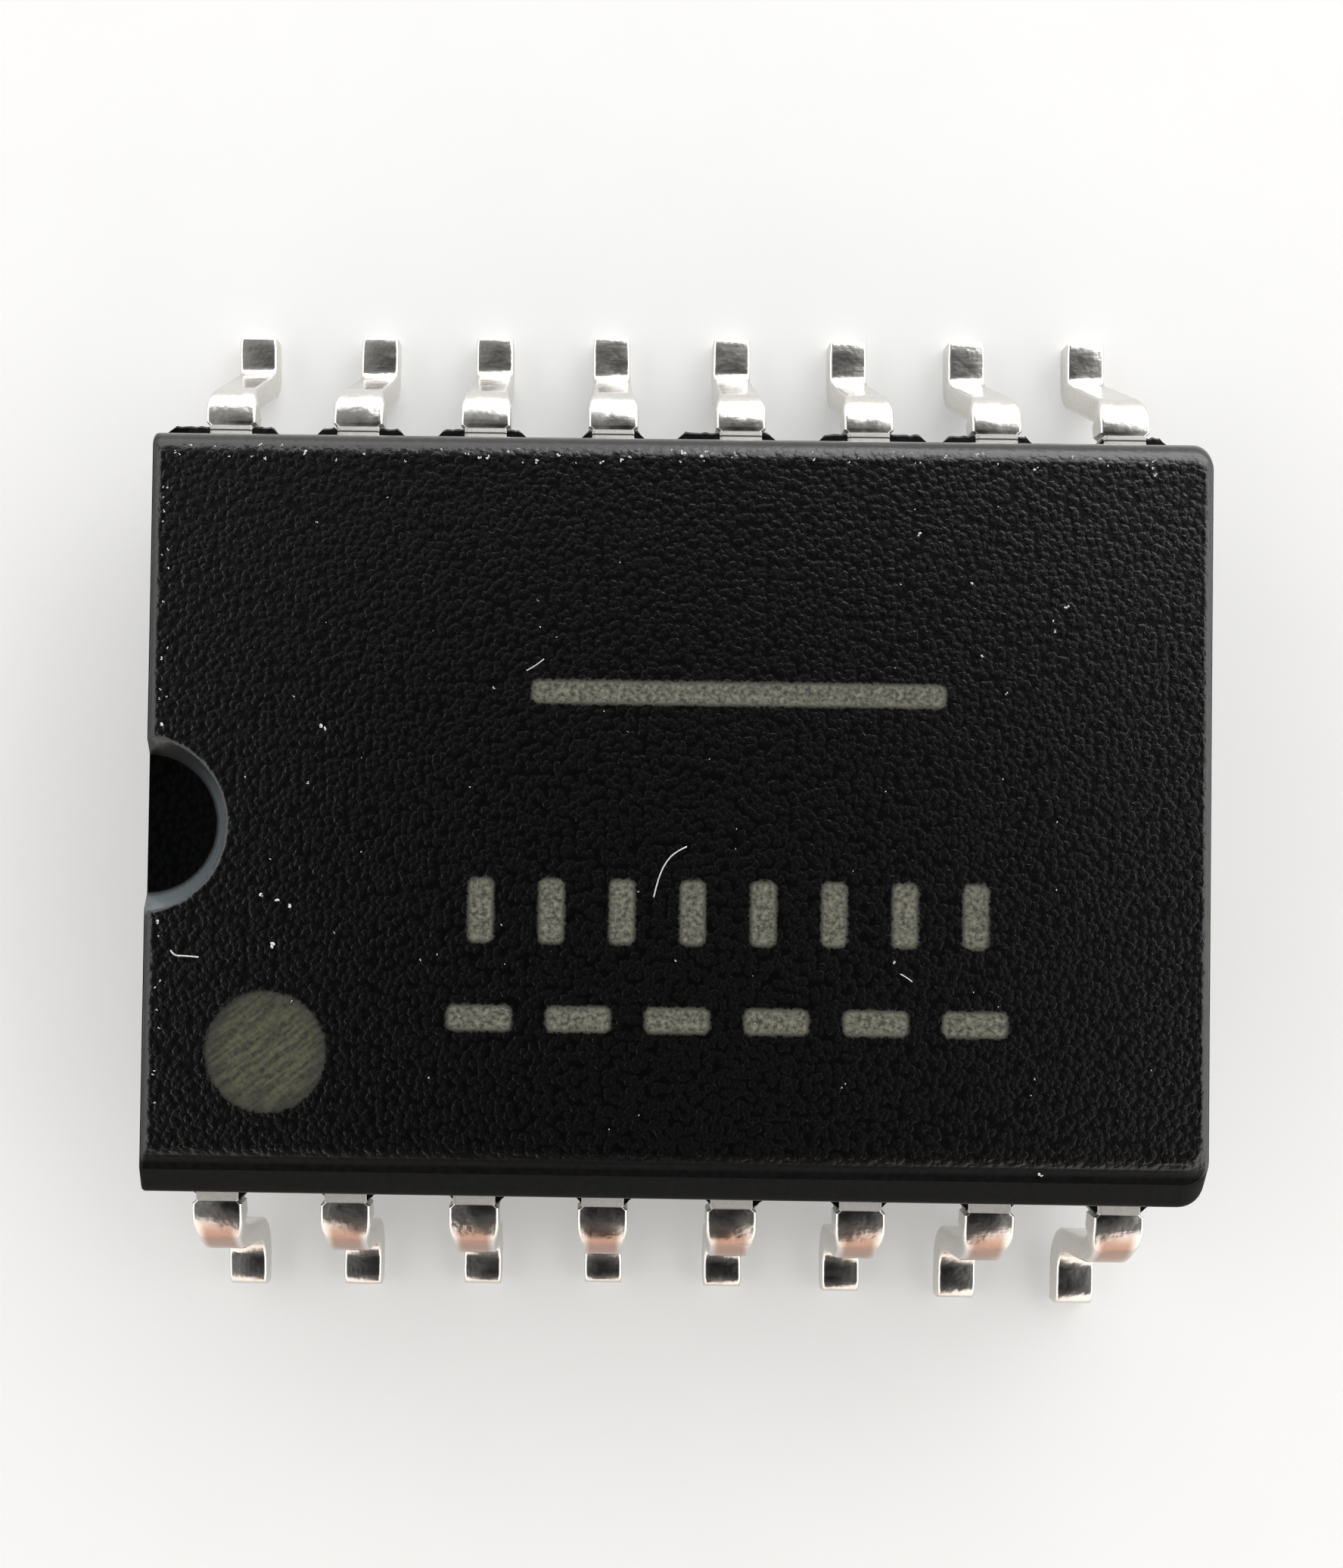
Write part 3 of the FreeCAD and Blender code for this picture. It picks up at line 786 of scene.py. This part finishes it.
# %% The bending tree and its inputs
tree = bpy.data.node_groups.new("bend_leads", "GeometryNodeTree")
face = tree.interface
face.new_socket("Geometry", in_out="INPUT", socket_type="NodeSocketGeometry")
sizes = {
    "Blank": "Object", "Blank tip": "Float", "Shoulder end": "Float", "Drop": "Float", "Height": "Float",
    "Finger turn": "Float", "Body edge": "Float", "Lean spread": "Float", "Sideways spread": "Float",
    "Seed": "Int", "Material": "Material",
}
named = {}
for name, kind in sizes.items():
    named[name] = face.new_socket(name, in_out="INPUT", socket_type="NodeSocket" + kind)
face.new_socket("Geometry", in_out="OUTPUT", socket_type="NodeSocketGeometry")
given = put(tree, "NodeGroupInput").node.outputs
print("inputs of the tree:", len(named))


# %% Set a blank on every place
def chance(spread, salt):
    """A seeded random number between minus and plus a spread, one for each lead."""
    low = put(tree, maths, [spread, -1.0], **times)
    seed = put(tree, maths, [given["Seed"], salt], operation="ADD")
    return put(tree, "FunctionNodeRandomValue", {2: low, 3: spread, "Seed": seed}, out=1, data_type="FLOAT")


def read(name, kind="FLOAT"):
    """A named attribute of the vertex in hand."""
    return put(tree, "GeometryNodeInputNamedAttribute", {"Name": name}, data_type=kind)


blank_in = put(tree, "GeometryNodeObjectInfo", {"Object": given["Blank"]}, out="Geometry")
kept = put(tree, "GeometryNodeInstanceOnPoints", {"Points": given["Geometry"], "Instance": blank_in})
for name, spread, salt in (("lean", "Lean spread", 0.0), ("sway", "Sideways spread", 11.0)):
    feeds = {"Geometry": kept, "Name": name, "Value": chance(given[spread], salt)}
    kept = put(tree, "GeometryNodeStoreNamedAttribute", feeds, data_type="FLOAT", domain="INSTANCE")
real = put(tree, "GeometryNodeRealizeInstances", [kept])
print("leads to bend:", len(rows))


# %% How far along each bend a vertex lies
def travelled(start, length=None):
    """How far along one stretch of the blank a vertex lies, from nothing to its whole length."""
    past = put(tree, maths, [along, start], **minus)
    past = put(tree, maths, [past, 0.0], operation="MAXIMUM")
    return past if length is None else put(tree, maths, [past, length], operation="MINIMUM")


across, along, over = put(tree, "ShaderNodeSeparateXYZ", [read("flat", "FLOAT_VECTOR")]).node.outputs
upper = read("row_bend")
lower = read("low_bend")
rolled = put(tree, maths, [read("roll"), read("row_roll")], **times)
over = put(tree, maths, [over, rolled], **minus)
lean = put(tree, maths, [read("row_lean"), read("lean")], operation="ADD")
turn_angle = put(tree, maths, [math.pi / 2, lean], **minus)
sine = put(tree, maths, [turn_angle], operation="SINE")
cosine = put(tree, maths, [turn_angle], operation="COSINE")
upper_arc = put(tree, maths, [upper, turn_angle], **times)
lower_arc = put(tree, maths, [lower, turn_angle], **times)
both = put(tree, maths, [upper, lower], operation="ADD")
# the straight leg is what is left of the drop after both bends
flatness = put(tree, maths, [1.0, cosine], **minus)
bend_drop = put(tree, maths, [flatness, both], **times)
leg = put(tree, maths, [given["Drop"], bend_drop], **minus)
leg = put(tree, maths, [leg, sine], operation="DIVIDE")
first_end = put(tree, maths, [given["Shoulder end"], upper_arc], operation="ADD")
leg_end = put(tree, maths, [first_end, leg], operation="ADD")
second_end = put(tree, maths, [leg_end, lower_arc], operation="ADD")
on_leg = travelled(first_end, leg)
on_foot = travelled(second_end)
angle_one = put(tree, maths, [travelled(given["Shoulder end"], upper_arc), upper], operation="DIVIDE")
angle_two = put(tree, maths, [travelled(leg_end, lower_arc), lower], operation="DIVIDE")
angle_left = put(tree, maths, [turn_angle, angle_two], **minus)
tilt = put(tree, maths, [angle_one, angle_two], **minus)
# the foot is cut to length after bending, so that it ends where its own lead's foot ends
foot_start = put(tree, maths, [both, sine, given["Shoulder end"]], **times_plus)
foot_start = put(tree, maths, [leg, cosine, foot_start], **times_plus)
foot_room = put(tree, maths, [read("tip"), foot_start], **minus)
blank_room = put(tree, maths, [given["Blank tip"], second_end], **minus)
trim = put(tree, maths, [foot_room, blank_room], operation="DIVIDE")
print("nodes so far:", len(tree.nodes))

# %% Where the bends take it
# outwards: shoulder, first bend, leg, second bend, foot, then the vertex's own height above the middle
out = put(tree, maths, [along, given["Shoulder end"]], operation="MINIMUM")
first_run = put(tree, maths, [angle_one], operation="SINE")
out = put(tree, maths, [first_run, upper, out], **times_plus)
out = put(tree, maths, [on_leg, cosine, out], **times_plus)
left_sine = put(tree, maths, [angle_left], operation="SINE")
second_run = put(tree, maths, [sine, left_sine], **minus)
out = put(tree, maths, [second_run, lower, out], **times_plus)
out = put(tree, maths, [on_foot, trim, out], **times_plus)
tilt_sine = put(tree, maths, [tilt], operation="SINE")
out = put(tree, maths, [over, tilt_sine, out], **times_plus)

# downwards in the same order
first_cosine = put(tree, maths, [angle_one], operation="COSINE")
fall = put(tree, maths, [1.0, first_cosine], **minus)
fall = put(tree, maths, [fall, upper], **times)
left_cosine = put(tree, maths, [angle_left], operation="COSINE")
second_fall = put(tree, maths, [left_cosine, cosine], **minus)
fall = put(tree, maths, [second_fall, lower, fall], **times_plus)
fall = put(tree, maths, [on_leg, sine, fall], **times_plus)
up = put(tree, maths, [given["Height"], fall], **minus)
tilt_cosine = put(tree, maths, [tilt], operation="COSINE")
up = put(tree, maths, [over, tilt_cosine, up], **times_plus)

# inside the resin the finger slants to its own place beside the paddle, outside it the lead sways a little
inward = put(tree, maths, [given["Finger turn"], along], **minus)
inward = put(tree, maths, [inward, 0.0], operation="MAXIMUM")
shorter = put(tree, maths, [1.0, read("finger_reach")], **minus)
out = put(tree, maths, [inward, shorter, out], **times_plus)
beside = put(tree, maths, [across, read("stand")], operation="ADD")
beside = put(tree, maths, [inward, read("finger_shift"), beside], **times_plus)
beside = put(tree, maths, [travelled(given["Body edge"]), read("sway"), beside], **times_plus)

# the near row is the far row mirrored, so its faces are turned out again
out = put(tree, maths, [out, read("side")], **times)
bent = put(tree, "ShaderNodeCombineXYZ", [beside, out, up])
in_metres = put(tree, vector_maths, [bent, (mm,) * 3], **times)
moved = put(tree, "GeometryNodeSetPosition", {"Geometry": real, "Position": in_metres})
feeds = {0: read("side"), 1: 0.0}
near_row = put(tree, "FunctionNodeCompare", feeds, operation="LESS_THAN", data_type="FLOAT")
turned_out = put(tree, "GeometryNodeFlipFaces", {"Mesh": moved, "Selection": near_row})
dressed = put(tree, "GeometryNodeSetMaterial", {"Geometry": turned_out, "Material": given["Material"]})
put(tree, "NodeGroupOutput", [dressed])
print("nodes in the bending tree:", len(tree.nodes))

# %% Bend all sixteen leads
bender = leads.modifiers.new("bend", "NODES")
bender.node_group = tree
settings = {
    "Blank": blank, "Blank tip": blank_tip, "Shoulder end": shoulder_end, "Drop": drop, "Height": parting,
    "Finger turn": finger_turn, "Body edge": half_y + 0.1, "Lean spread": math.radians(1.2),
    "Sideways spread": 0.02, "Seed": 4, "Material": tin,
}
for name, value in settings.items():
    bender[named[name].identifier] = value
bake_modifiers(leads)
bpy.data.objects.remove(blank)
smooth_shade(leads, 32)
low = [min(v.co[k] for v in leads.data.vertices) / mm for k in range(3)]
high = [max(v.co[k] for v in leads.data.vertices) / mm for k in range(3)]
print("leads reach", [round(v, 3) for v in low], "to", [round(v, 3) for v in high])
print("faces of the leads:", len(leads.data.polygons))

# %% [markdown]
# # Dust and fibres
# The chip has been handled: a curved white fibre, a few short ones and some bright specks lie on its top.
# They stay, because wear is part of the object. Painted on, they would cast no shadow and wouldn't stand out
# from the grain, so they are real geometry, one or two hundredths of a millimetre thick: the fibres are
# curves with a round section, and each speck is a small flat heap of three grains.

# %% Cotton lint
lint, tree, at = new_material("cotton_lint")
mottle = put(tree, noise, {"Vector": at, "Scale": 25.0, "Detail": 3.0})
tone = put(tree, mix, {0: mottle, 6: ink("#b9bab8"), 7: ink("#f4f4f2")}, **colours)
feeds = {"Base Color": tone, "Roughness": 0.6, "Subsurface Weight": 0.2}
put(tree, "ShaderNodeOutputMaterial", [put(tree, "ShaderNodeBsdfPrincipled", feeds)])
print("nodes in the lint:", len(tree.nodes))

# %% Where the fibres and specks lie, in millimetres
# Each fibre has its points and its thickness, each speck its place and its width.
fibres = (
    (((-0.21, -0.73), (-0.18, -0.59), (-0.12, -0.43), (-0.02, -0.31), (0.09, -0.26)), 0.012),
    (((-1.41, 1.34), (-1.33, 1.38), (-1.25, 1.45)), 0.010),
    (((-4.65, -1.28), (-4.62, -1.33), (-4.53, -1.33), (-4.39, -1.34)), 0.014),
    (((2.06, -1.40), (2.12, -1.43), (2.17, -1.47)), 0.010),
)
specks = [
    (-3.28, 0.80, 0.045), (-3.70, -1.22, 0.050), (-3.41, 0.28, 0.020), (-1.71, 1.18, 0.025),
    (2.19, 2.64, 0.035), (2.68, 2.20, 0.025), (2.01, -1.30, 0.030), (3.56, 1.99, 0.040),
    (3.44, 1.87, 0.030), (3.45, 1.77, 0.025), (2.79, 1.52, 0.025), (3.01, 1.19, 0.020),
    (4.36, 3.22, 0.030), (3.36, -3.22, 0.035), (-3.82, -0.76, 0.030), (-3.68, -0.81, 0.035),
    (-3.55, -0.86, 0.030), (-4.77, 0.80, 0.030), (-4.77, -1.02, 0.030), (-4.79, 1.41, 0.025),
]
# finer dust gathers along the far edge and beside the notch, and a little lies everywhere
for _ in range(60):
    specks.append((dice.uniform(-4.7, 4.6), dice.uniform(3.26, 3.43), dice.uniform(0.014, 0.034)))
for _ in range(22):
    specks.append((dice.uniform(-4.80, -4.72), dice.choice((-1, 1)) * dice.uniform(1.0, 3.0), 0.016))
for _ in range(50):
    specks.append((dice.uniform(-4.0, 4.6), dice.uniform(-2.9, 3.1), dice.uniform(0.008, 0.016)))
print("fibres:", len(fibres), "specks:", len(specks))

# %% Lay them on the top
speck_height = 0.011
far_flat = 3.31
fibre_lift = 0.35


def resting(y):
    """The height of the top face, and of the rounded far edge beyond it."""
    past = max(y - far_flat, 0.0)
    return top - (far_edge_radius - math.sqrt(far_edge_radius ** 2 - past ** 2))


def fibre_mesh(spots, width):
    """A thin lying thread: a smooth curve with a small round section."""
    line = bpy.data.curves.new("fibre", "CURVE")
    line.dimensions = "3D"
    line.bevel_depth = width / 2 * mm
    line.bevel_resolution = 2
    line.use_fill_caps = True
    spline = line.splines.new("NURBS")
    spline.points.add(len(spots) - 1)
    for target, (x, y) in zip(spline.points, spots):
        target.co = (x * mm, y * mm, (top + width * fibre_lift) * mm, 1.0)
    spline.order_u = 3
    spline.use_endpoint_u = True
    spline.resolution_u = 8
    holder = bpy.data.objects.new("fibre", line)
    bpy.context.scene.collection.objects.link(holder)
    seen = holder.evaluated_get(bpy.context.evaluated_depsgraph_get())
    mesh = bpy.data.meshes.new_from_object(seen)
    bpy.data.objects.remove(holder)
    return mesh


made = bmesh.new()
for spots, width in fibres:
    part = fibre_mesh(spots, width)
    made.from_mesh(part)
    bpy.data.meshes.remove(part)
for x, y, width in specks:
    for _ in range(3):
        spot = (x + dice.uniform(-0.5, 0.5) * width, y + dice.uniform(-0.5, 0.5) * width, resting(y))
        place = Matrix.Translation(Vector(spot) * mm) @ Matrix.Rotation(dice.uniform(0, math.pi), 4, "Z")
        wide = width * dice.uniform(0.25, 0.5) * mm
        grain = Matrix.Diagonal((wide, wide * dice.uniform(0.4, 0.9), speck_height * mm, 1.0))
        bmesh.ops.create_icosphere(made, subdivisions=2, radius=1.0, matrix=place @ grain)
threads = link_mesh("lint_and_dust", finish_mesh(made, "lint_and_dust"), lint)
threads.data.polygons.foreach_set("use_smooth", [True] * len(threads.data.polygons))
print("faces of lint and dust:", len(threads.data.polygons))

# %% [markdown]
# # Pieces inside the resin
# The chip, its plate, the glue and the gold wires can't be seen, apart from the plate's two tie bars, which
# were cut off flush with the ends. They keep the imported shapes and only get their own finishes.

# %% Finishes of the inner pieces
def plain_finish(name, dark, light, scale, roughness, metallic=0.0):
    """A finish with a fine mottle between two tones, for a small or hidden piece."""
    material, tree, at = new_material(name)
    mottle = put(tree, noise, {"Vector": at, "Scale": scale, "Detail": 4.0})
    tone = put(tree, mix, {0: mottle, 6: ink(dark), 7: ink(light)}, **colours)
    bump = put(tree, "ShaderNodeBump", {"Strength": 0.3, "Distance": 0.002 * mm, "Height": mottle})
    feeds = {"Base Color": tone, "Roughness": roughness, "Metallic": metallic, "Normal": bump}
    put(tree, "ShaderNodeOutputMaterial", [put(tree, "ShaderNodeBsdfPrincipled", feeds)])
    return material


finishes = {
    "die_paddle": plain_finish("sheared_copper_alloy", "#9a6a4c", "#c99a78", 30.0, 0.35, 1.0),
    "die_attach": plain_finish("silver_filled_glue", "#8f8f8a", "#c4c4be", 40.0, 0.5),
    "die": plain_finish("sawn_silicon", "#3a3d45", "#565b66", 20.0, 0.12),
}
gold = plain_finish("drawn_gold_wire", "#d9a441", "#f0c66b", 50.0, 0.2, 1.0)
for name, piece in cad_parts.items():
    finish = gold if name.startswith("bond_wire") else finishes.get(name)
    if finish:
        for slot in piece.material_slots:
            slot.material = finish
print("inner finishes:", len(finishes) + 1)

# %% [markdown]
# # Hand over
# The body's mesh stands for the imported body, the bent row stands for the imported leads, and every piece
# rides on the one rigid body that the object has.

# %% Say what rides on what
for piece in (body, flash, leads, threads):
    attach(piece, "root")
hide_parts("moulded_body")
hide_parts(*[f"lead_{pin:02d}" for pin in range(1, 2 * per_row + 1)])
